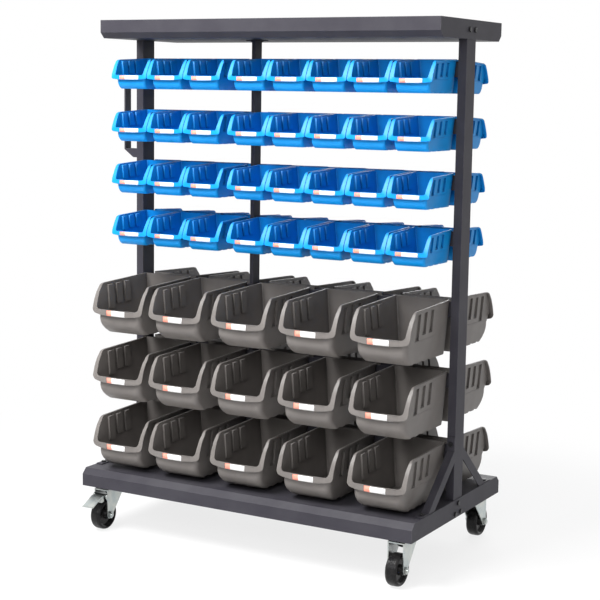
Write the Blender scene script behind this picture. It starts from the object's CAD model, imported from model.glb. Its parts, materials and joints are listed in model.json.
"""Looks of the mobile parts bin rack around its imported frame: finishes and softened edges on the steel and the
casters, the hopper bins' full skins with their label cards, and a cup under each caster's kingpin."""
import json

import bmesh
import bpy
import numpy as np
from mathutils import Matrix, Vector

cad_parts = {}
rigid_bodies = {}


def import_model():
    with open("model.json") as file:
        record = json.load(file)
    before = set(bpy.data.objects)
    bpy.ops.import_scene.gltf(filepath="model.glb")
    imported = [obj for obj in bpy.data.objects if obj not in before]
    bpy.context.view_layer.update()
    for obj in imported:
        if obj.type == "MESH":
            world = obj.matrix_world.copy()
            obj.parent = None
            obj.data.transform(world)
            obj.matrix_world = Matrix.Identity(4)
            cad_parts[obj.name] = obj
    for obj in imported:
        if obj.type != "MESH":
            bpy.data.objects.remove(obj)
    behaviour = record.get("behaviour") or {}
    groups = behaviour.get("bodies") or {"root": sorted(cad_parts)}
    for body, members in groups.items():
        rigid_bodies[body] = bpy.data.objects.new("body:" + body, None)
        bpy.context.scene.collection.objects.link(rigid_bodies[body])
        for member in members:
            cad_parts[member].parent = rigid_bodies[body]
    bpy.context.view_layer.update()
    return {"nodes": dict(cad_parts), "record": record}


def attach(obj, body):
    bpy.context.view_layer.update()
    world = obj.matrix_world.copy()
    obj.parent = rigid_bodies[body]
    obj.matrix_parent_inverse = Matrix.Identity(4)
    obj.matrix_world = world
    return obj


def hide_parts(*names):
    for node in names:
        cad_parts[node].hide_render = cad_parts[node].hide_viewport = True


for leftover in list(bpy.data.objects):
    bpy.data.objects.remove(leftover)
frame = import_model()
nodes = frame["nodes"]

MM = 0.001
NEAR = 1e-6
SIDES = ("front", "back")
ROWS = range(1, 8)
SMALL_ROWS = range(1, 5)

# Where the bins hang, in millimetres
BIN_BACK_Y = 17.3
POST_INNER_X = 428.5
END_GAP = 1.0
# The bins' sizes, from the part's source apart from wider slots, the sag and a fuller bulge:
# taper and rim_in draw the foot and head in from the width, and the rim falls by drop toward the front
# lip is its lower and upper edge; it stands lip_out before the lower front, whose floor ends at the setback
# the lip's lower edge rises by sag at its corners and its face falls back by bow; the lower front swells by bulge
# the collar leans back by lean and swells by swell
# slots lie at distances from the back, and the one at the front reaches down by slot_more
# label is (left, right, height) of the recess in the lip, and card the same of what lies in it
SMALL_BIN = dict(
    width=103.6, depth=140.0, height=76.0, low_z=704.0, rise=126.5, taper=12.5, rim_in=5.0, drop=6.0,
    lip=(21.0, 33.0), lip_out=8.0, sag=3.5, bow=0.0, lean=20.0, swell=1.0, setback=18.0, bulge=3.5,
    slots=(46.0, 74.0, 102.0), slot_size=(12.5, 30.0), slot_top=66.0, slot_more=4.0,
    label=(-28.0, 28.0, 10.0), card=(-27.6, 27.6, 9.4),
    round_front=6.0, round_back=4.0, round_top=7.0, round_in=4.0, round_out=4.0)
LARGE_BIN = dict(
    width=147.0, depth=224.0, height=127.0, low_z=161.0, rise=165.5, taper=15.0, rim_in=5.0, drop=7.0,
    lip=(45.0, 61.0), lip_out=12.0, sag=8.0, bow=5.0, lean=34.0, swell=4.0, setback=42.0, bulge=12.0,
    slots=(92.0, 126.0, 160.0), slot_size=(17.0, 50.0), slot_top=114.0, slot_more=10.0,
    label=(-29.0, 49.0, 14.0), card=(-28.4, 25.0, 13.2),
    round_front=13.0, round_back=5.0, round_top=11.0, round_in=10.0, round_out=9.0)
SMALL_PITCH = 104.4
LARGE_PITCH_LEFT = 166.0
LARGE_PITCH_RIGHT = 182.5
LABEL_DEPTH = 0.8
CARD_THICKNESS = 0.35
CARD_CLEAR = 0.05


def is_small(row):
    """Whether a row holds small bins."""
    return row in SMALL_ROWS


def bin_of(row):
    """The sizes of a row's bins."""
    return SMALL_BIN if is_small(row) else LARGE_BIN


def row_floor(row):
    """Height of a row's bin floors; rows count from the top."""
    steps = (SMALL_ROWS[-1] if is_small(row) else ROWS[-1]) - row
    return bin_of(row)["low_z"] + steps * bin_of(row)["rise"]


def row_places(row):
    """Middles of a row's bins along the rack, from left to right; the last one is loose."""
    first = POST_INNER_X - END_GAP - bin_of(row)["width"] / 2
    if is_small(row):
        left, right = SMALL_PITCH * np.arange(3), SMALL_PITCH * np.arange(5)
    else:
        left, right = LARGE_PITCH_LEFT * np.arange(2), LARGE_PITCH_RIGHT * np.arange(3)
    return [*(left - first), *(first - right[::-1])]


# Shader building blocks

def add_node(tree, kind, label, **values):
    """Adds a node; values set its properties, or its input sockets when they are named there."""
    node = tree.nodes.new(kind)
    node.label = label
    for name, value in values.items():
        if name in node.inputs:
            node.inputs[name].default_value = value
        else:
            setattr(node, name, value)
    return node


def math_node(tree, operation, a, b=None):
    """Adds a Math node and wires or sets its operands."""
    node = tree.nodes.new("ShaderNodeMath")
    node.operation = operation
    for socket, value in zip(node.inputs, (a, b)):
        if isinstance(value, (int, float)):
            socket.default_value = value
        elif value is not None:
            tree.links.new(value, socket)
    return node.outputs[0]


def span(tree, value, low, high, to_low=0.0, to_high=1.0):
    """Adds a smooth, clamped Map Range node from low..high to to_low..to_high."""
    node = tree.nodes.new("ShaderNodeMapRange")
    node.interpolation_type = "SMOOTHSTEP"
    tree.links.new(value, node.inputs["Value"])
    for name, number in (("From Min", low), ("From Max", high), ("To Min", to_low), ("To Max", to_high)):
        node.inputs[name].default_value = number
    return node.outputs["Result"]


def mix_colour(tree, factor, a, b):
    """Adds a colour Mix node; a and b are sockets or colours."""
    node = tree.nodes.new("ShaderNodeMix")
    node.data_type = "RGBA"
    for socket, value in ((node.inputs[0], factor), (node.inputs[6], a), (node.inputs[7], b)):
        if isinstance(value, (int, float, tuple)):
            socket.default_value = value
        else:
            tree.links.new(value, socket)
    return node.outputs[2]


def cloudy(tree, given, detail, roughness):
    """Adds noise on Object coordinates whose scale is the group's Patch."""
    place = tree.nodes.new("ShaderNodeTexCoord").outputs["Object"]
    node = add_node(tree, "ShaderNodeTexNoise", "cloud", Detail=detail, Roughness=roughness)
    tree.links.new(place, node.inputs["Vector"])
    tree.links.new(given["Patch"], node.inputs["Scale"])
    return node.outputs["Fac"]


def effect_group(name, inputs, outputs):
    """Starts a shader node group with float inputs (name, default) and float outputs."""
    tree = bpy.data.node_groups.new(name, "ShaderNodeTree")
    for socket, default in inputs:
        item = tree.interface.new_socket(socket, in_out="INPUT", socket_type="NodeSocketFloat")
        item.default_value = default
    for socket in outputs:
        tree.interface.new_socket(socket, in_out="OUTPUT", socket_type="NodeSocketFloat")
    return tree, tree.nodes.new("NodeGroupInput").outputs, tree.nodes.new("NodeGroupOutput").inputs


def make_surface_grain():
    """Grain: fine and coarse noise on Object coordinates; Height for bump, Tone for colour and roughness."""
    tree, given, out = effect_group("surface_grain", [("Fine", 900.0), ("Coarse", 60.0)], ["Height", "Tone"])
    place = tree.nodes.new("ShaderNodeTexCoord").outputs["Object"]
    values = {}
    for socket, detail in (("Fine", 2.0), ("Coarse", 4.0)):
        node = add_node(tree, "ShaderNodeTexNoise", socket, Detail=detail)
        tree.links.new(place, node.inputs["Vector"])
        tree.links.new(given[socket], node.inputs["Scale"])
        values[socket] = node.outputs["Fac"]
    tree.links.new(values["Fine"], out["Height"])
    tree.links.new(span(tree, values["Coarse"], 0.3, 0.7), out["Tone"])
    return tree


def make_edge_rub():
    """Edge rub: where a rounded normal turns away from the true one, broken up by noise."""
    inputs = [("Reach", 0.001), ("Patch", 45.0), ("Amount", 0.5)]
    tree, given, out = effect_group("edge_rub", inputs, ["Mask"])
    rounded = add_node(tree, "ShaderNodeBevel", "rounded", samples=4)
    tree.links.new(given["Reach"], rounded.inputs["Radius"])
    true_normal = tree.nodes.new("ShaderNodeNewGeometry").outputs["Normal"]
    alike = add_node(tree, "ShaderNodeVectorMath", "alike", operation="DOT_PRODUCT")
    tree.links.new(rounded.outputs["Normal"], alike.inputs[0])
    tree.links.new(true_normal, alike.inputs[1])
    turned = span(tree, math_node(tree, "SUBTRACT", 1.0, alike.outputs["Value"]), 0.01, 0.16)
    patches = span(tree, cloudy(tree, given, detail=5.0, roughness=0.65), 0.38, 0.66)
    broken = math_node(tree, "MULTIPLY", turned, patches)
    tree.links.new(math_node(tree, "MULTIPLY", broken, given["Amount"]), out["Mask"])
    return tree


def make_settled_dust():
    """Dust: lies where the surface faces up, thinned by cloudy noise."""
    tree, given, out = effect_group("settled_dust", [("Patch", 9.0), ("Amount", 0.3)], ["Mask"])
    normal = tree.nodes.new("ShaderNodeNewGeometry").outputs["Normal"]
    split = tree.nodes.new("ShaderNodeSeparateXYZ")
    tree.links.new(normal, split.inputs[0])
    upward = span(tree, split.outputs["Z"], 0.35, 0.95)
    cloud = span(tree, cloudy(tree, given, detail=6.0, roughness=0.7), 0.35, 0.75)
    thinned = math_node(tree, "MULTIPLY", upward, cloud)
    tree.links.new(math_node(tree, "MULTIPLY", thinned, given["Amount"]), out["Mask"])
    return tree


def make_recess_grime():
    """Grime: gathers where surfaces close in on a point within a short reach, thinned by cloudy noise."""
    inputs = [("Reach", 0.012), ("Patch", 25.0), ("Amount", 0.5)]
    tree, given, out = effect_group("recess_grime", inputs, ["Mask"])
    around = add_node(tree, "ShaderNodeAmbientOcclusion", "closed in", samples=4)
    tree.links.new(given["Reach"], around.inputs["Distance"])
    closed = span(tree, around.outputs["AO"], 0.35, 0.95, 1.0, 0.0)
    cloud = span(tree, cloudy(tree, given, detail=4.0, roughness=0.6), 0.2, 0.6, 0.7, 1.0)
    thinned = math_node(tree, "MULTIPLY", closed, cloud)
    tree.links.new(math_node(tree, "MULTIPLY", thinned, given["Amount"]), out["Mask"])
    return tree


def make_tread_ribs():
    """Ribs: a sine wave across the tyre, along X of the wheel's Object coordinates, gone on its flat sides."""
    tree, given, out = effect_group("tread_ribs", [("Spacing", 0.0026)], ["Height"])
    coordinates = tree.nodes.new("ShaderNodeTexCoord").outputs
    across = tree.nodes.new("ShaderNodeSeparateXYZ")
    tree.links.new(coordinates["Object"], across.inputs[0])
    facing = tree.nodes.new("ShaderNodeSeparateXYZ")
    tree.links.new(coordinates["Normal"], facing.inputs[0])
    turns = math_node(tree, "DIVIDE", across.outputs["X"], given["Spacing"])
    wave = math_node(tree, "SINE", math_node(tree, "MULTIPLY", turns, 2.0 * np.pi))
    tread = span(tree, math_node(tree, "ABSOLUTE", facing.outputs["X"]), 0.25, 0.75, 1.0, 0.0)
    tree.links.new(math_node(tree, "MULTIPLY", wave, tread), out["Height"])
    return tree


DUST_COLOUR = (0.33, 0.32, 0.31, 1.0)
DUST_DULLS = 0.3
BLOCK_SHARE = 0.28
GRAIN = make_surface_grain()
RUB = make_edge_rub()
DUST = make_settled_dust()
GRIME = make_recess_grime()
RIBS = make_tread_ribs()


def place_group(tree, group, **values):
    """Places a shared effect in a material with its own values."""
    node = tree.nodes.new("ShaderNodeGroup")
    node.node_tree = group
    for name, value in values.items():
        node.inputs[name].default_value = value
    return node.outputs


def new_finish(name):
    """Starts a material and gives its tree and its Principled shader."""
    material = bpy.data.materials.new(name)
    material.use_nodes = True
    tree = material.node_tree
    return material, tree, tree.nodes["Principled BSDF"]


def bump(tree, shader, height, strength, distance):
    """Feeds a height through a Bump node to the shader's normal."""
    node = add_node(tree, "ShaderNodeBump", "relief", Strength=strength, Distance=distance)
    tree.links.new(height, node.inputs["Height"])
    tree.links.new(node.outputs["Normal"], shader.inputs["Normal"])


def coated(name, colour, pale, rubbed, grimy, grain, rough, relief, rub, dust, grime):
    """A skin of one colour that shifts with the grain's tone: grimy in recesses, rubbed along edges, dusty on
    top. Each effect's values come as a tuple in the order of its group's inputs."""
    material, tree, shader = new_finish(name)
    fine = place_group(tree, GRAIN, Fine=grain[0], Coarse=grain[1])
    worn = place_group(tree, RUB, Reach=rub[0], Patch=rub[1], Amount=rub[2])
    dusty = place_group(tree, DUST, Patch=dust[0], Amount=dust[1])
    dark = place_group(tree, GRIME, Reach=grime[0], Patch=grime[1], Amount=grime[2])
    skin = mix_colour(tree, fine["Tone"], colour, pale)
    skin = mix_colour(tree, dark["Mask"], skin, grimy)
    skin = mix_colour(tree, worn["Mask"], skin, rubbed)
    skin = mix_colour(tree, dusty["Mask"], skin, DUST_COLOUR)
    tree.links.new(skin, shader.inputs["Base Color"])
    gloss = span(tree, fine["Height"], 0.3, 0.7, rough[0], rough[1])
    gloss = math_node(tree, "ADD", gloss, math_node(tree, "MULTIPLY", dusty["Mask"], DUST_DULLS))
    tree.links.new(gloss, shader.inputs["Roughness"])
    bump(tree, shader, fine["Height"], relief[0], relief[1])
    return material, tree, shader


def powder_coat():
    """Charcoal powder coat: orange-peel relief, rubbed slightly paler along the folds."""
    material, _, shader = coated(
        "charcoal_powder_coat", colour=(0.036, 0.034, 0.043, 1.0), pale=(0.045, 0.043, 0.052, 1.0),
        rubbed=(0.15, 0.145, 0.16, 1.0), grimy=(0.016, 0.015, 0.018, 1.0),
        grain=(1400.0, 14.0), rough=(0.40, 0.56), relief=(0.16, 0.0004),
        rub=(0.0016, 38.0, 0.55), dust=(7.0, 0.04), grime=(0.010, 20.0, 0.6))
    shader.inputs["Specular IOR Level"].default_value = 0.14
    return material


def moulded_plastic(name, colour, pale, rubbed, grimy):
    """Satin moulded plastic: a fine eroded-mould relief, paler handled edges and darker slots and corners."""
    material, _, shader = coated(
        name, colour, pale, rubbed, grimy, grain=(2200.0, 22.0), rough=(0.30, 0.44), relief=(0.10, 0.0002),
        rub=(0.0012, 60.0, 0.45), dust=(12.0, 0.10), grime=(0.018, 25.0, 0.85))
    shader.inputs["Specular IOR Level"].default_value = 0.20
    return material


def zinc_plate():
    """Bright zinc: metal whose tint drifts between blue and straw, with soft streaks in its gloss."""
    material, tree, shader = new_finish("bright_zinc")
    fine = place_group(tree, GRAIN, Fine=1800.0, Coarse=55.0)
    worn = place_group(tree, RUB, Reach=0.0012, Patch=80.0, Amount=0.6)
    plate = mix_colour(tree, fine["Tone"], (0.46, 0.51, 0.51, 1.0), (0.58, 0.60, 0.57, 1.0))
    dark = place_group(tree, GRIME, Reach=0.030, Patch=40.0, Amount=0.85)
    plate = mix_colour(tree, dark["Mask"], plate, (0.11, 0.11, 0.115, 1.0))
    plate = mix_colour(tree, worn["Mask"], plate, (0.72, 0.74, 0.74, 1.0))
    tree.links.new(plate, shader.inputs["Base Color"])
    shader.inputs["Metallic"].default_value = 1.0
    tree.links.new(span(tree, fine["Height"], 0.25, 0.75, 0.24, 0.42), shader.inputs["Roughness"])
    bump(tree, shader, fine["Height"], 0.08, 0.0003)
    return material


def black_steel():
    """Blackened fastener steel, brighter where a tool has rubbed it."""
    material, _, shader = coated(
        "black_fastener_steel", colour=(0.018, 0.018, 0.020, 1.0), pale=(0.030, 0.030, 0.032, 1.0),
        rubbed=(0.20, 0.20, 0.21, 1.0), grimy=(0.008, 0.008, 0.008, 1.0),
        grain=(2500.0, 120.0), rough=(0.30, 0.46), relief=(0.08, 0.0002),
        rub=(0.0007, 120.0, 0.6), dust=(20.0, 0.06), grime=(0.004, 60.0, 0.6))
    shader.inputs["Metallic"].default_value = 0.6
    return material


def black_rubber():
    """Black rubber: satin, a little grey with scuffs and floor dust, with fine ribs round the tread."""
    material, tree, shader = coated(
        "black_rubber", colour=(0.006, 0.006, 0.007, 1.0), pale=(0.013, 0.012, 0.012, 1.0),
        rubbed=(0.07, 0.068, 0.066, 1.0), grimy=(0.004, 0.004, 0.004, 1.0),
        grain=(1500.0, 70.0), rough=(0.16, 0.30), relief=(0.12, 0.0003),
        rub=(0.0012, 70.0, 0.35), dust=(25.0, 0.05), grime=(0.006, 40.0, 0.6))
    shader.inputs["Specular IOR Level"].default_value = 0.18
    ribs = add_node(tree, "ShaderNodeBump", "tread", Strength=0.35, Distance=0.0006)
    tree.links.new(place_group(tree, RIBS)["Height"], ribs.inputs["Height"])
    relief = next(node for node in tree.nodes if node.label == "relief")
    tree.links.new(ribs.outputs["Normal"], relief.inputs["Normal"])
    return material


def label_paper():
    """White card with a plain coral block at its left, by the card's own UV; faint fibre in tone and relief."""
    material, tree, shader = new_finish("label_paper")
    uv = tree.nodes.new("ShaderNodeTexCoord").outputs["UV"]
    split = tree.nodes.new("ShaderNodeSeparateXYZ")
    tree.links.new(uv, split.inputs[0])
    block = math_node(tree, "LESS_THAN", split.outputs["X"], BLOCK_SHARE)
    fine = place_group(tree, GRAIN, Fine=3000.0, Coarse=400.0)
    white = mix_colour(tree, fine["Tone"], (0.83, 0.83, 0.82, 1.0), (0.90, 0.90, 0.89, 1.0))
    coral = mix_colour(tree, fine["Tone"], (0.82, 0.27, 0.19, 1.0), (0.88, 0.33, 0.25, 1.0))
    tree.links.new(mix_colour(tree, block, white, coral), shader.inputs["Base Color"])
    tree.links.new(span(tree, fine["Height"], 0.3, 0.7, 0.5, 0.7), shader.inputs["Roughness"])
    bump(tree, shader, fine["Height"], 0.1, 0.0001)
    return material


FINISHES = {
    "frame": powder_coat(),
    "zinc": zinc_plate(),
    "black": black_steel(),
    "wheel": black_rubber(),
    "blue_bin": moulded_plastic(
        "blue_plastic", colour=(0.003, 0.238, 0.62, 1.0), pale=(0.006, 0.265, 0.68, 1.0),
        rubbed=(0.10, 0.40, 0.88, 1.0), grimy=(0.001, 0.055, 0.22, 1.0)),
    "grey_bin": moulded_plastic(
        "grey_plastic", colour=(0.150, 0.137, 0.129, 1.0), pale=(0.170, 0.156, 0.147, 1.0),
        rubbed=(0.28, 0.27, 0.26, 1.0), grimy=(0.040, 0.036, 0.034, 1.0)),
    "card": label_paper(),
}


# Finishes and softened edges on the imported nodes

WELD_WITHIN = 0.00001
FLAT_WITHIN = 0.01
EDGE_FROM = 0.52
EDGE_SEGMENTS = 2
EDGE_WIDTH = {"frame": 0.0008, "zinc": 0.0004, "black": 0.0003, "wheel": 0.0005}
BLACK_FASTENERS = ("frame_bolts", "rail_screws")
slot_of = {part["node"]: part["material_slot"] for part in frame["record"]["subparts"]}


def soften(piece, width):
    """Welds a node's loose triangles, merges flat ones and rounds its edges, by modifiers alone."""
    weld = piece.modifiers.new("weld", "WELD")
    weld.merge_threshold = WELD_WITHIN
    flat = piece.modifiers.new("flat", "DECIMATE")
    flat.decimate_type = "DISSOLVE"
    flat.angle_limit = FLAT_WITHIN
    edge = piece.modifiers.new("edge", "BEVEL")
    edge.width = width
    edge.segments = EDGE_SEGMENTS
    edge.limit_method = "ANGLE"
    edge.angle_limit = EDGE_FROM
    edge.use_clamp_overlap = True
    edge.harden_normals = True
    even = piece.modifiers.new("even", "WEIGHTED_NORMAL")
    even.keep_sharp = False


for name, piece in nodes.items():
    look = "black" if name in BLACK_FASTENERS else slot_of[name]
    piece.data.materials.clear()
    piece.data.materials.append(FINISHES[look])
    if look in EDGE_WIDTH:
        soften(piece, EDGE_WIDTH[look])


# Hopper bins

WALL = 2.2
RIM_DEEP = 3.5
RIM_OVER = 2.0
LID_SIDE = 1.0
LID_LIP = 3.0
LIP_GAP = 0.2
SLOT_DEPTH = 4.5
SLOT_EASE = 0.5
RIDGE_WIDER = 1.15 * WALL
LEDGE_OUT = 0.9
LEDGE_HIGH = 3.0
LEDGE_EASE = 0.2
LABEL_EASE = 0.6
EDGE_SOFT = 0.8
FOOT_SOFT = 1.8
FOOT_EASE = 0.3 * FOOT_SOFT
NOTCH_HIGH = 1.6
NOTCH_DEEP = 3.5
COLLAR_FADE = 15.0
LEAST_ROUND = 1.5
SHARP_FROM = 1.0
MERGE_WITHIN = 0.000002
TURN_STEPS = 5
COLLAR_STEPS = 5
CORNER_STEPS = 5
SWELL_SHARES = (0.2, 0.4, 0.6, 0.8, 1.0)
SPINE_ENDS = (0.3, 1.7)
UP, AHEAD, BEHIND, ASIDE = np.array([[0, 0, 1], [0, 1, 0], [0, -1, 0], [1, 0, 0]], float)


def lerp(a, b, t):
    """The point at share t of the way from a to b."""
    return a + (b - a) * t


def unit(v):
    """Vectors of length 1 along v."""
    return v / np.linalg.norm(v, axis=-1, keepdims=True)


def stations(across, out, up):
    """Rows of (across, out, up) from numbers or arrays of one length."""
    return np.stack(np.broadcast_arrays(np.asarray(across, float), out, up), axis=-1)


class BinForm:
    """Sizes that follow from a bin's own: its tapered half width, its collar's line and the bow of its lip."""

    def __init__(self, sizes):
        self.__dict__.update(sizes)
        self.half = self.width / 2
        self.foot = self.half - self.taper
        self.head = self.half - self.rim_in
        self.lip_low, self.lip_top = self.lip
        self.floor_end = self.depth - self.setback
        self.corner = np.array([self.depth - self.lean, self.height - self.drop])
        self.collar_foot = np.array([self.depth - self.bow, self.lip_top])
        self.collar_run = self.corner - self.collar_foot
        self.slot_low = self.slot_top - self.slot_size[1]
        self.long_low = self.slot_low - self.slot_more
        self.ledge = self.long_low - WALL
        self.rim_mid = self.height - self.drop / 2 - RIM_DEEP
        self.knee = (self.ledge - LEDGE_HIGH) / self.rim_mid

    def wide(self, up):
        """Half width outside: the side walls lean out evenly from foot to head."""
        return lerp(self.foot, self.head, np.asarray(up, float) / self.height)

    def lip_edge(self, across):
        """Height of the lip's lower edge: lowest in the middle, rising by a cube toward the corners."""
        return self.lip_low + self.sag * (np.abs(across) / self.half) ** 3

    def bow_drop(self, across):
        """How far the lip's face falls back from its middle: a circle through the lip's ends."""
        if not self.bow:
            return np.zeros_like(across)
        radius = (self.half ** 2 + self.bow ** 2) / (2 * self.bow)
        return radius - np.sqrt(radius ** 2 - np.minimum(np.abs(across), self.half) ** 2)

    def face_out(self, across, up):
        """Distance from the back to the front's face: below the lip's top the bowed lip, above it the collar,
        a line to the top corner that swells by a sine; the bow fades out over the collar's foot."""
        across, up = np.broadcast_arrays(np.asarray(across, float), np.asarray(up, float))
        t = np.clip((up - self.lip_top) / self.collar_run[1], 0, 1)
        collar = self.collar_foot[0] + self.collar_run[0] * t + self.swell * np.sin(np.pi * t)
        fade = np.clip(1 - (up - self.lip_top) / COLLAR_FADE, 0, 1)
        return collar + fade * (self.bow - self.bow_drop(across))


def rim_path(form):
    """Half a bin's outline as stations from the middle of its back to the middle of its front: the floor's
    edge, the rim's inner and outer edges, the way the rim faces, the way out through the wall, how much of the
    station belongs to the front (0 on the sides, 1 on the lip), and how much of the lower front's swelling it
    takes, which fades out along the sides by a square."""
    back, bend, top, turn, collar, low, lip = range(7)
    parts = [None] * 7

    # Across the back and round its corner, where the rim is just the wall's top
    r_back = form.round_back
    r_inner = max(r_back - WALL, LEAST_ROUND)
    across = np.array([0.0, 0.5])
    parts[back] = (stations(across * (form.foot - r_back), 0, 0),
                   stations(across * (form.head - r_back), WALL, form.height),
                   stations(across * (form.head - r_back), 0, form.height))
    q = np.radians([0.0, 45.0, 90.0])
    bend_out = stations(np.sin(q), -np.cos(q), 0)
    parts[bend] = (stations(form.foot - r_back, r_back, 0) + r_back * bend_out,
                   stations(form.head - WALL - r_inner, WALL + r_inner, form.height) + r_inner * bend_out,
                   stations(form.head - r_back + RIM_OVER * np.sin(q), r_back, form.height) + r_back * bend_out)

    # Along the top, with stations at both sides of each slot
    reach = form.slot_size[0] / 2 + np.array([SLOT_EASE, 0.0])
    sides = np.concatenate([-reach, reach[::-1]])
    out = np.concatenate([[form.slots[0] / 2], (np.array(form.slots)[:, None] + sides).ravel()])
    up = form.height - form.drop * out / form.corner[0]
    parts[top] = (stations(form.foot, out, 0), stations(form.wide(up) - WALL, out, up),
                  stations(form.head + RIM_OVER, out, up))

    # Round the top corner, a parabola between the rim's line and the collar's, where the collar widens
    t = np.linspace(0, 1, TURN_STEPS)
    ease = t * t * (3 - 2 * t)
    start = form.corner - form.round_top * unit(np.array([form.corner[0], -form.drop]))
    end = form.corner - form.round_top * unit(form.collar_run)
    bent = np.outer((1 - t) ** 2, start) + np.outer(2 * t * (1 - t), form.corner) + np.outer(t ** 2, end)
    fan = np.linspace(out[-1], form.floor_end - form.round_front, TURN_STEPS + COLLAR_STEPS + 1)[1:]
    parts[turn] = (stations(form.foot, fan[:TURN_STEPS], 0),
                   stations(form.wide(bent[:, 1]) - WALL, bent[:, 0], bent[:, 1]),
                   stations(lerp(form.head + RIM_OVER, form.half, ease), bent[:, 0], bent[:, 1]))

    # Down the collar
    s = np.linspace(0, 1, COLLAR_STEPS + 1)[1:]
    up = lerp(end[1], form.lip_top + form.round_in, s)
    outer_up = lerp(end[1], form.lip_edge(form.half) + form.round_out, s)
    inner_x = form.wide(up) - WALL
    parts[collar] = (stations(form.foot, fan[TURN_STEPS:], 0),
                     stations(inner_x, form.face_out(inner_x, up), up),
                     stations(form.half, form.face_out(form.half, outer_up), outer_up))

    # Round the lower corner, from the collar to the lip
    q = np.radians(np.linspace(0, 90, CORNER_STEPS + 1)[1:])
    turned = np.sin(q)
    inner_c = form.wide(form.lip_top + form.round_in) - WALL - form.round_in
    inner_x = inner_c + form.round_in * np.cos(q)
    inner_z = form.lip_top + form.round_in * (1 - turned)
    outer_x = form.half + form.round_out * (np.cos(q) - 1)
    outer_z = form.lip_edge(outer_x) + form.round_out * (1 - turned)
    r_front = form.round_front
    short = r_front * (np.cos(q) - 1)
    parts[low] = (stations(form.foot + short, form.floor_end + r_front * (turned - 1), 0),
                  stations(inner_x, form.face_out(inner_x, inner_z), inner_z),
                  stations(outer_x, form.face_out(outer_x, outer_z), outer_z))

    # Along the lip, with stations at both ends of the label's recess
    marks = np.array(sorted({abs(form.label[0]), form.label[1]}, reverse=True))
    x = np.concatenate([(marks[:, None] + [LABEL_EASE, 0.0]).ravel(), [marks[-1] / 2, 0.0]])
    share = x / inner_c
    parts[lip] = (stations((form.foot - r_front) * share, form.floor_end, 0),
                  stations(x, form.face_out(x, form.lip_top), form.lip_top),
                  stations(x, form.face_out(x, form.lip_low), form.lip_edge(x)))

    count = [len(part[0]) for part in parts]
    floor, inner, outer = (np.concatenate([part[k] for part in parts]) for k in range(3))
    collar_face = unit(np.array([0.0, form.collar_run[1], -form.collar_run[0]]))
    grow = np.linspace(0, 1, count[low] + 1)[1:, None]
    face = np.concatenate([np.tile(UP, (sum(count[:turn]), 1)), lerp(UP, collar_face, ease[:, None]),
                           np.tile(collar_face, (count[collar], 1)), lerp(collar_face, AHEAD, grow),
                           np.tile(AHEAD, (count[lip], 1))])
    through = np.concatenate([np.tile(BEHIND, (count[back], 1)), bend_out,
                              np.tile(ASIDE, (sum(count[top:low]), 1)), lerp(ASIDE, AHEAD, grow),
                              np.tile(AHEAD, (count[lip], 1))])
    front = np.concatenate([np.zeros(sum(count[:low])), grow[:, 0], np.ones(count[lip])])
    toward = np.linspace(0, 1, count[turn] + count[collar] + 1)[1:] ** 2
    swelling = np.concatenate([np.zeros(sum(count[:turn])), toward, np.ones(count[low] + count[lip])])
    # Where the front wall ends under the lip
    wide = form.wide(form.lip_low)
    knee = np.concatenate([
        stations(wide + short, form.depth - form.lip_out + r_front * (turned - 1), form.lip_low),
        stations((wide - r_front) * share, form.depth - form.lip_out, form.lip_low)])
    return dict(floor=floor, inner=inner, outer=outer, face=unit(face), through=unit(through), front=front,
                swelling=swelling, knee=knee, slotted=slice(sum(count[:top]), sum(count[:turn])),
                fanned=slice(sum(count[:turn]), sum(count[:low])), fronted=slice(sum(count[:low]), sum(count)))


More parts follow.
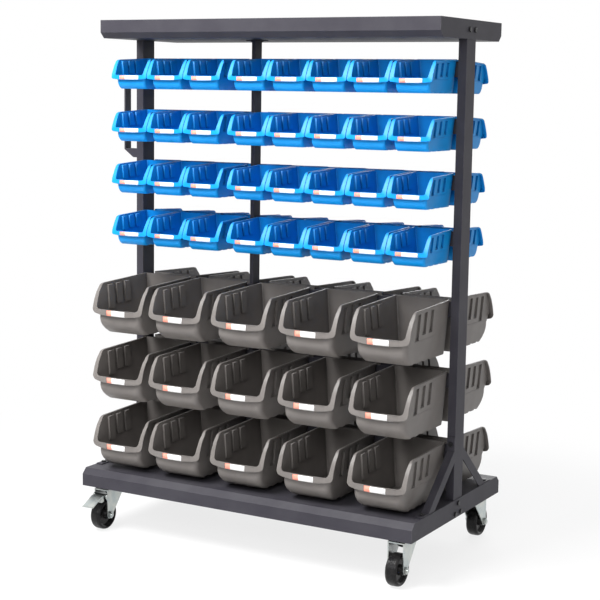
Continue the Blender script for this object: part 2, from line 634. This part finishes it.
def bin_surface(form):
    """A bin's whole skin as one closed grid: columns go round the bin, and rows follow one profile from the
    middle of the floor inside, up the inner wall, over the rim or lip, and down the outer wall to the middle of
    the floor below. Walls run straight from the floor's edge to a knee, swelling by a sine at the front, and on
    to the rim."""
    path = rim_path(form)
    floor, inner, outer, face = path["floor"], path["inner"], path["outer"], path["face"]
    front = path["front"][:, None]
    brim = unit(outer - inner)
    deep = lerp(RIM_DEEP, WALL, front)
    lid = lerp(LID_SIDE, LID_LIP, front)
    inner_top = inner - lid * face
    under_rim = inner + WALL * path["through"] - deep * face
    behind_lip = inner - (WALL + LIP_GAP) * face + WALL * brim
    outer_top = lerp(under_rim, behind_lip, front)
    middle = form.floor_end / 2
    slotted = np.zeros(len(floor))
    slotted[path["slotted"]] = 1
    off_slot = floor[:, 1] - np.array(form.slots)[:, None]
    from_slot = np.abs(off_slot) <= form.slot_size[0] / 2 + NEAR
    beside = np.abs(off_slot) <= form.slot_size[0] / 2 + SLOT_EASE + NEAR
    aside = slotted * (np.sign(off_slot) * beside).sum(axis=0)

    def share(up):
        """A height as a share of the wall's."""
        return up / form.rim_mid

    swell_rows = [form.knee * k for k in SWELL_SHARES]
    slot_rows = [share(z) for z in (form.long_low - SLOT_EASE, form.long_low, form.slot_low - SLOT_EASE,
                                    form.slot_low, form.slot_top, form.slot_top + SLOT_EASE)]
    ledge_rows = [share(form.ledge - LEDGE_EASE), share(form.ledge)]

    def in_slot(t):
        """1 where a row at share t of the height passes through a slot; the front slot reaches lower."""
        lows = np.array([form.slot_low, form.slot_low, form.long_low])
        open_there = (t >= share(lows) - NEAR) & (t <= share(form.slot_top) + NEAR)
        return slotted * (from_slot & open_there[:, None]).any(axis=0)

    def wall(bottom, top, rows, inset, ledge):
        """Rows of one wall: the outer one (ledge) carries the slots and their ledge, the inner one the ridges
        behind them, wider than the slots by the inset on each side."""
        knee = lerp(bottom, top, form.knee)
        knee[path["fronted"]] = path["knee"] - inset * path["through"][path["fronted"]]
        fan = path["fanned"]
        level = np.linspace(knee[fan.start, 2], form.lip_low, fan.stop - fan.start)
        rise = (level - bottom[fan, 2]) / (top[fan, 2] - bottom[fan, 2])
        knee[fan] = lerp(bottom[fan], top[fan], rise[:, None])
        grown = []
        for t in rows:
            below = lerp(bottom, knee, min(t / form.knee, 1.0))
            below[:, 1] += path["swelling"] * form.bulge * np.sin(np.pi * min(t / form.knee, 1.0))
            line = below if t <= form.knee else lerp(knee, top, (t - form.knee) / (1 - form.knee))
            line[:, 0] -= SLOT_DEPTH * in_slot(t)
            line[:, 1] += inset * aside
            if ledge and t == ledge_rows[1]:
                line[:, 0] += LEDGE_OUT * slotted * (floor[:, 1] > form.slots[0] - form.slot_size[0])
            grown.append(line)
        return grown

    def drawn_in(outline, by, up=0.0):
        """The floor's outline drawn in toward its middle, and raised."""
        scale = np.array([1 - by / form.foot, 1 - by / middle, 1.0])
        return (outline - (0, middle, 0)) * scale + (0, middle, up)

    def spine(up):
        """The floor's middle line at a height, where the skin closes."""
        return stations(0.0, np.clip(floor[:, 1], SPINE_ENDS[0] * middle, SPINE_ENDS[1] * middle), up)

    inside = drawn_in(floor, WALL, WALL)
    margin = (1 - form.label[2] / (form.lip_top - form.lip_low)) / 2
    ease = LABEL_EASE * margin
    label_rows = [lerp(inner, outer, s) for s in (ease, margin, 1 - margin, 1 - ease)]
    rows = [spine(WALL), drawn_in(inside, FOOT_SOFT), drawn_in(inside, FOOT_EASE, FOOT_EASE)]
    rows += wall(inside, inner_top, swell_rows + slot_rows, RIDGE_WIDER, False)
    rows += [inner_top, inner - np.minimum(EDGE_SOFT, lid / 2) * face, inner + EDGE_SOFT * brim]
    label_at = len(rows) + 1
    rows += label_rows
    rows += [outer - EDGE_SOFT * brim, outer - EDGE_SOFT * face, outer - (deep - EDGE_SOFT) * face,
             outer - deep * face - EDGE_SOFT * brim, outer_top]
    rows += wall(floor, outer_top, swell_rows + ledge_rows + slot_rows, 0.0, True)[::-1]
    notched = stations(0.0, 0.0, NOTCH_HIGH * slotted * from_slot.any(axis=0))
    rows += [drawn_in(floor, FOOT_EASE, FOOT_EASE) + notched, drawn_in(floor, FOOT_SOFT) + notched,
             drawn_in(floor, FOOT_SOFT + NOTCH_DEEP), spine(0.0)]
    half = np.stack(rows)
    skin = np.concatenate([half, half[:, -2:0:-1] * (-1, 1, 1)], axis=1)
    on_lip = np.concatenate([path["front"], path["front"][-2:0:-1]]) == 1
    x = skin[label_at, :, 0]
    label = on_lip & (x >= form.label[0] - NEAR) & (x <= form.label[1] + NEAR)
    skin[label_at:label_at + 2, label, 1] -= LABEL_DEPTH
    return skin


HOOK_SHORT = 20.0
HOOK_PROFILE = np.array([
    [1.1, -4.5], [-2.6, -4.5], [-3.1, -5.0], [-3.1, -13.1], [-3.6, -13.5], [-4.4, -13.5], [-4.9, -13.0],
    [-4.9, -3.2], [-3.7, -2.0], [1.1, -2.0]])


def hook_surface(form):
    """The hook: an L-shaped profile in (out, up from the bin's top) carried across the back and closed to a
    point at both ends."""
    across = (form.width - HOOK_SHORT) / 2 * np.array([-1, -1, 1, 1])
    ring = np.stack([HOOK_PROFILE, HOOK_PROFILE, HOOK_PROFILE, HOOK_PROFILE])
    ring[[0, 3]] = ring[[0, 3]].mean(axis=1, keepdims=True)
    grid = np.concatenate([np.broadcast_to(across[:, None, None], ring.shape[:2] + (1,)), ring], axis=2)
    return grid + (0, 0, form.height)


def ring_faces(rows, columns, start):
    """Quads of a grid whose columns close on themselves, numbered from start."""
    row = np.arange(rows - 1)[:, None] * columns
    column = np.arange(columns)[None, :]
    after = (column + 1) % columns
    quads = np.stack([row + column, row + after, row + columns + after, row + columns + column], axis=-1)
    return (start + quads).reshape(-1, 4)


# New pieces

def grid_faces(rows, columns, start):
    """Quads of a rows-by-columns grid of points, numbered row by row from start."""
    corner = start + np.arange(rows - 1)[:, None] * columns + np.arange(columns - 1)[None, :]
    return np.stack([corner, corner + 1, corner + columns + 1, corner + columns], axis=-1).reshape(-1, 4)


def new_piece(name, points, faces, finish, body, uv=None):
    """Puts whole arrays of points (millimetres) and faces into one mesh that rides on a body."""
    mesh = bpy.data.meshes.new(name)
    mesh.from_pydata(points * MM, [], faces.tolist())
    if uv is not None:
        layer = mesh.uv_layers.new(name="card")
        layer.data.foreach_set("uv", uv[faces.ravel()].astype(np.float32).ravel())
    mesh.polygons.foreach_set("use_smooth", np.ones(len(mesh.polygons), bool))
    mesh.materials.append(FINISHES[finish])
    mesh.update()
    piece = bpy.data.objects.new(name, mesh)
    bpy.context.scene.collection.objects.link(piece)
    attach(piece, body)
    return piece


def hang(points, side, row, place):
    """Moves a bin's own points to where it hangs: turned half round on the back, on its rail, on its row."""
    turn = 1.0 if side == "front" else -1.0
    return points * (turn, turn, 1.0) + (place, -turn * BIN_BACK_Y, row_floor(row))


def merge_doubles(piece):
    """Joins points that coincide where a grid closes up."""
    shell = bmesh.new()
    shell.from_mesh(piece.data)
    bmesh.ops.remove_doubles(shell, verts=shell.verts, dist=MERGE_WITHIN)
    shell.to_mesh(piece.data)
    shell.free()


def hung_bins(side, row, places, name, body, node):
    """Bins of one row as one piece: each bin's skin and hook, turned to face out and carried to its place."""
    form = BinForm(bin_of(row))
    points, faces = [], []
    count = 0
    for place in places:
        for grid in (bin_surface(form), hook_surface(form)):
            points.append(hang(grid.reshape(-1, 3) * (1, -1, 1), side, row, place))
            faces.append(ring_faces(*grid.shape[:2], count))
            count += len(points[-1])
    slot = "blue_bin" if is_small(row) else "grey_bin"
    bins = new_piece(name, np.concatenate(points), np.concatenate(faces), slot, body)
    merge_doubles(bins)
    bins.data.set_sharp_from_angle(angle=SHARP_FROM)
    even = bins.modifiers.new("even", "WEIGHTED_NORMAL")
    even.keep_sharp = True
    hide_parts(node)


def card_surface(form, columns=9, lines=3):
    """A card as a function of (across, up): flat upward, and across it follows the lip's bow, in the recess."""
    left, right, height = form.card
    across, up = np.meshgrid(np.linspace(0, 1, columns), np.linspace(0, 1, lines))
    x = lerp(left, right, across)
    z = (form.lip_low + form.lip_top + height * (2 * up - 1)) / 2
    out = form.face_out(x, form.lip_low) - LABEL_DEPTH + CARD_THICKNESS
    return np.stack([x, -out, z], axis=-1), np.stack([across, up], axis=-1).reshape(-1, 2)


def label_cards(side, row, places, name, body):
    """Cards of one row as one piece, each a thin sheet in its bin's label recess."""
    grid, uv = card_surface(BinForm(bin_of(row)))
    points = grid.reshape(-1, 3)
    faces = np.concatenate([grid_faces(*grid.shape[:2], i * len(points)) for i in range(len(places))])
    every = np.concatenate([hang(points, side, row, place) for place in places])
    cards = new_piece(name, every, faces, "card", body, np.tile(uv, (len(places), 1)))
    thick = cards.modifiers.new("thick", "SOLIDIFY")
    thick.thickness = (CARD_THICKNESS - CARD_CLEAR) * MM
    thick.offset = -1.0


for side in SIDES:
    for row in ROWS:
        places = row_places(row)
        kept, loose = f"{side}_row{row}_bins", f"{side}_row{row}_loose_bin"
        hung_bins(side, row, places[:-1], f"{kept}_skin", "rack", kept)
        hung_bins(side, row, places[-1:], f"{loose}_skin", loose, loose)
        label_cards(side, row, places[:-1], f"{kept}_cards", "rack")
        label_cards(side, row, places[-1:], f"{loose}_card", loose)


# Cups under the casters' kingpins

CASTER_X = 405.0
CASTER_Y = 195.0
CUP_COLUMNS = 40
CUP_PROFILE = np.array([
    [15.0, 97.9], [15.0, 93.0], [14.0, 89.0], [11.5, 85.6], [7.0, 83.6], [0.0, 83.0], [0.0, 81.4], [7.5, 82.0],
    [12.5, 84.0], [15.5, 88.0], [16.5, 93.0], [16.5, 97.9], [15.0, 97.9]])


def cup_surface(x, y):
    """A cup as a profile in (radius, height), down the inside and up the outside, turned about an upright line
    at (x, y)."""
    turn = np.linspace(0, 2 * np.pi, CUP_COLUMNS, endpoint=False)
    radius, height = CUP_PROFILE[:, :1], CUP_PROFILE[:, 1:]
    return np.stack([x + radius * np.cos(turn), y + radius * np.sin(turn), height + 0 * turn], axis=-1)


for side, y in zip(SIDES, (-CASTER_Y, CASTER_Y)):
    for end, x in (("left", -CASTER_X), ("right", CASTER_X)):
        grid = cup_surface(x, y)
        cup = new_piece(f"{side}_{end}_kingpin_cup", grid.reshape(-1, 3), ring_faces(*grid.shape[:2], 0),
                        "zinc", f"{side}_{end}_swivel")
        merge_doubles(cup)
        cup.data.set_sharp_from_angle(angle=SHARP_FROM)


# Studio

FLOOR_SIZE = 60.0
FLOOR_COLOUR = (0.93, 0.93, 0.93, 1.0)
FLOOR_ROUGH = 0.9
SHADOW_ENDS = (0.7, 1.6)
SHADOW_WHITE = 0.80
CAMERA_PLACE = (1.7662, -3.0809, 1.0860)
CAMERA_TURN = dict(yaw=0.5157, pitch=0.1412, roll=0.0150)
CAMERA_LENS = 88.5
CAMERA_SENSOR = 36.0


def seen_plainly(tree):
    """1 for rays that come from the camera, a reflection or a clear piece, 0 for those that carry light."""
    path = tree.nodes.new("ShaderNodeLightPath").outputs
    seen = math_node(tree, "MAXIMUM", path["Is Camera Ray"], path["Is Glossy Ray"])
    return math_node(tree, "MAXIMUM", seen, path["Is Transmission Ray"])


def studio_floor():
    """A wide pale floor that takes the rack's shadow near it and turns plain white for the camera further
    out."""
    bpy.ops.mesh.primitive_plane_add(size=FLOOR_SIZE, location=(0.0, 0.0, 0.0))
    floor = bpy.context.object
    floor.name = "studio_floor"
    material, tree, shader = new_finish("studio_white")
    shader.inputs["Base Color"].default_value = FLOOR_COLOUR
    shader.inputs["Roughness"].default_value = FLOOR_ROUGH
    shader.inputs["Specular IOR Level"].default_value = 0.0
    place = tree.nodes.new("ShaderNodeTexCoord").outputs["Object"]
    flat = add_node(tree, "ShaderNodeVectorMath", "from the middle", operation="LENGTH")
    tree.links.new(place, flat.inputs[0])
    far = span(tree, flat.outputs["Value"], *SHADOW_ENDS)
    white = add_node(tree, "ShaderNodeEmission", "white", Strength=1.0)
    mix = tree.nodes.new("ShaderNodeMixShader")
    share = math_node(tree, "MULTIPLY", span(tree, far, 0.0, 1.0, SHADOW_WHITE, 1.0), seen_plainly(tree))
    tree.links.new(share, mix.inputs["Fac"])
    tree.links.new(shader.outputs[0], mix.inputs[1])
    tree.links.new(white.outputs[0], mix.inputs[2])
    tree.links.new(mix.outputs[0], tree.nodes["Material Output"].inputs["Surface"])
    floor.data.materials.append(material)


def studio_world(ambient):
    """White all round: plain white to the camera and in reflections, softer as a light."""
    world = bpy.data.worlds.new("studio_world")
    bpy.context.scene.world = world
    world.use_nodes = True
    tree = world.node_tree
    tree.nodes["Background"].inputs["Color"].default_value = (1.0, 1.0, 1.0, 1.0)
    strength = span(tree, seen_plainly(tree), 0.0, 1.0, ambient, 1.0)
    tree.links.new(strength, tree.nodes["Background"].inputs["Strength"])


def soft_box(name, place, target, size, power):
    """A rectangular area lamp at a place, turned toward a target."""
    lamp = bpy.data.lights.new(name, "AREA")
    lamp.shape = "RECTANGLE"
    lamp.size, lamp.size_y = size
    lamp.energy = power
    holder = bpy.data.objects.new(name, lamp)
    bpy.context.scene.collection.objects.link(holder)
    aim = (Vector(target) - Vector(place)).to_track_quat("-Z", "Y")
    holder.matrix_world = Matrix.Translation(Vector(place)) @ aim.to_matrix().to_4x4()


def photo_camera(place, yaw, pitch, roll):
    """The camera fitted to the photograph: its place, turn, downward pitch, roll and lens."""
    right = np.array([np.cos(yaw), np.sin(yaw), 0.0])
    ahead = np.array([-np.sin(yaw) * np.cos(pitch), np.cos(yaw) * np.cos(pitch), -np.sin(pitch)])
    up = np.cross(right, ahead)
    turned_right = np.cos(roll) * right + np.sin(roll) * up
    turned_up = np.cos(roll) * up - np.sin(roll) * right
    lens = bpy.data.cameras.new("photo_camera")
    lens.sensor_fit = "HORIZONTAL"
    lens.sensor_width = CAMERA_SENSOR
    lens.lens = CAMERA_LENS
    camera = bpy.data.objects.new("photo_camera", lens)
    bpy.context.scene.collection.objects.link(camera)
    pose = np.eye(4)
    pose[:3, :4] = np.column_stack([turned_right, turned_up, -ahead, place])
    camera.matrix_world = Matrix(pose.tolist())
    bpy.context.scene.camera = camera


studio_floor()
studio_world(ambient=0.18)
soft_box("key_light", place=(-0.8, -1.75, 2.7), target=(0.0, 0.0, 0.9), size=(1.6, 1.3), power=140.0)
soft_box("front_light", place=(1.0, -3.4, 2.0), target=(0.0, 0.0, 0.7), size=(2.0, 1.4), power=62.0)
soft_box("side_light", place=(2.7, -0.4, 1.5), target=(0.0, 0.0, 0.8), size=(1.4, 1.4), power=6.0)
soft_box("top_light", place=(0.0, 0.6, 3.6), target=(0.0, 0.0, 0.6), size=(3.0, 2.4), power=12.0)
soft_box("back_light", place=(-0.6, 3.2, 2.2), target=(0.0, 0.0, 0.7), size=(2.6, 1.6), power=80.0)
photo_camera(CAMERA_PLACE, **CAMERA_TURN)
bpy.context.scene.view_settings.view_transform = "Standard"
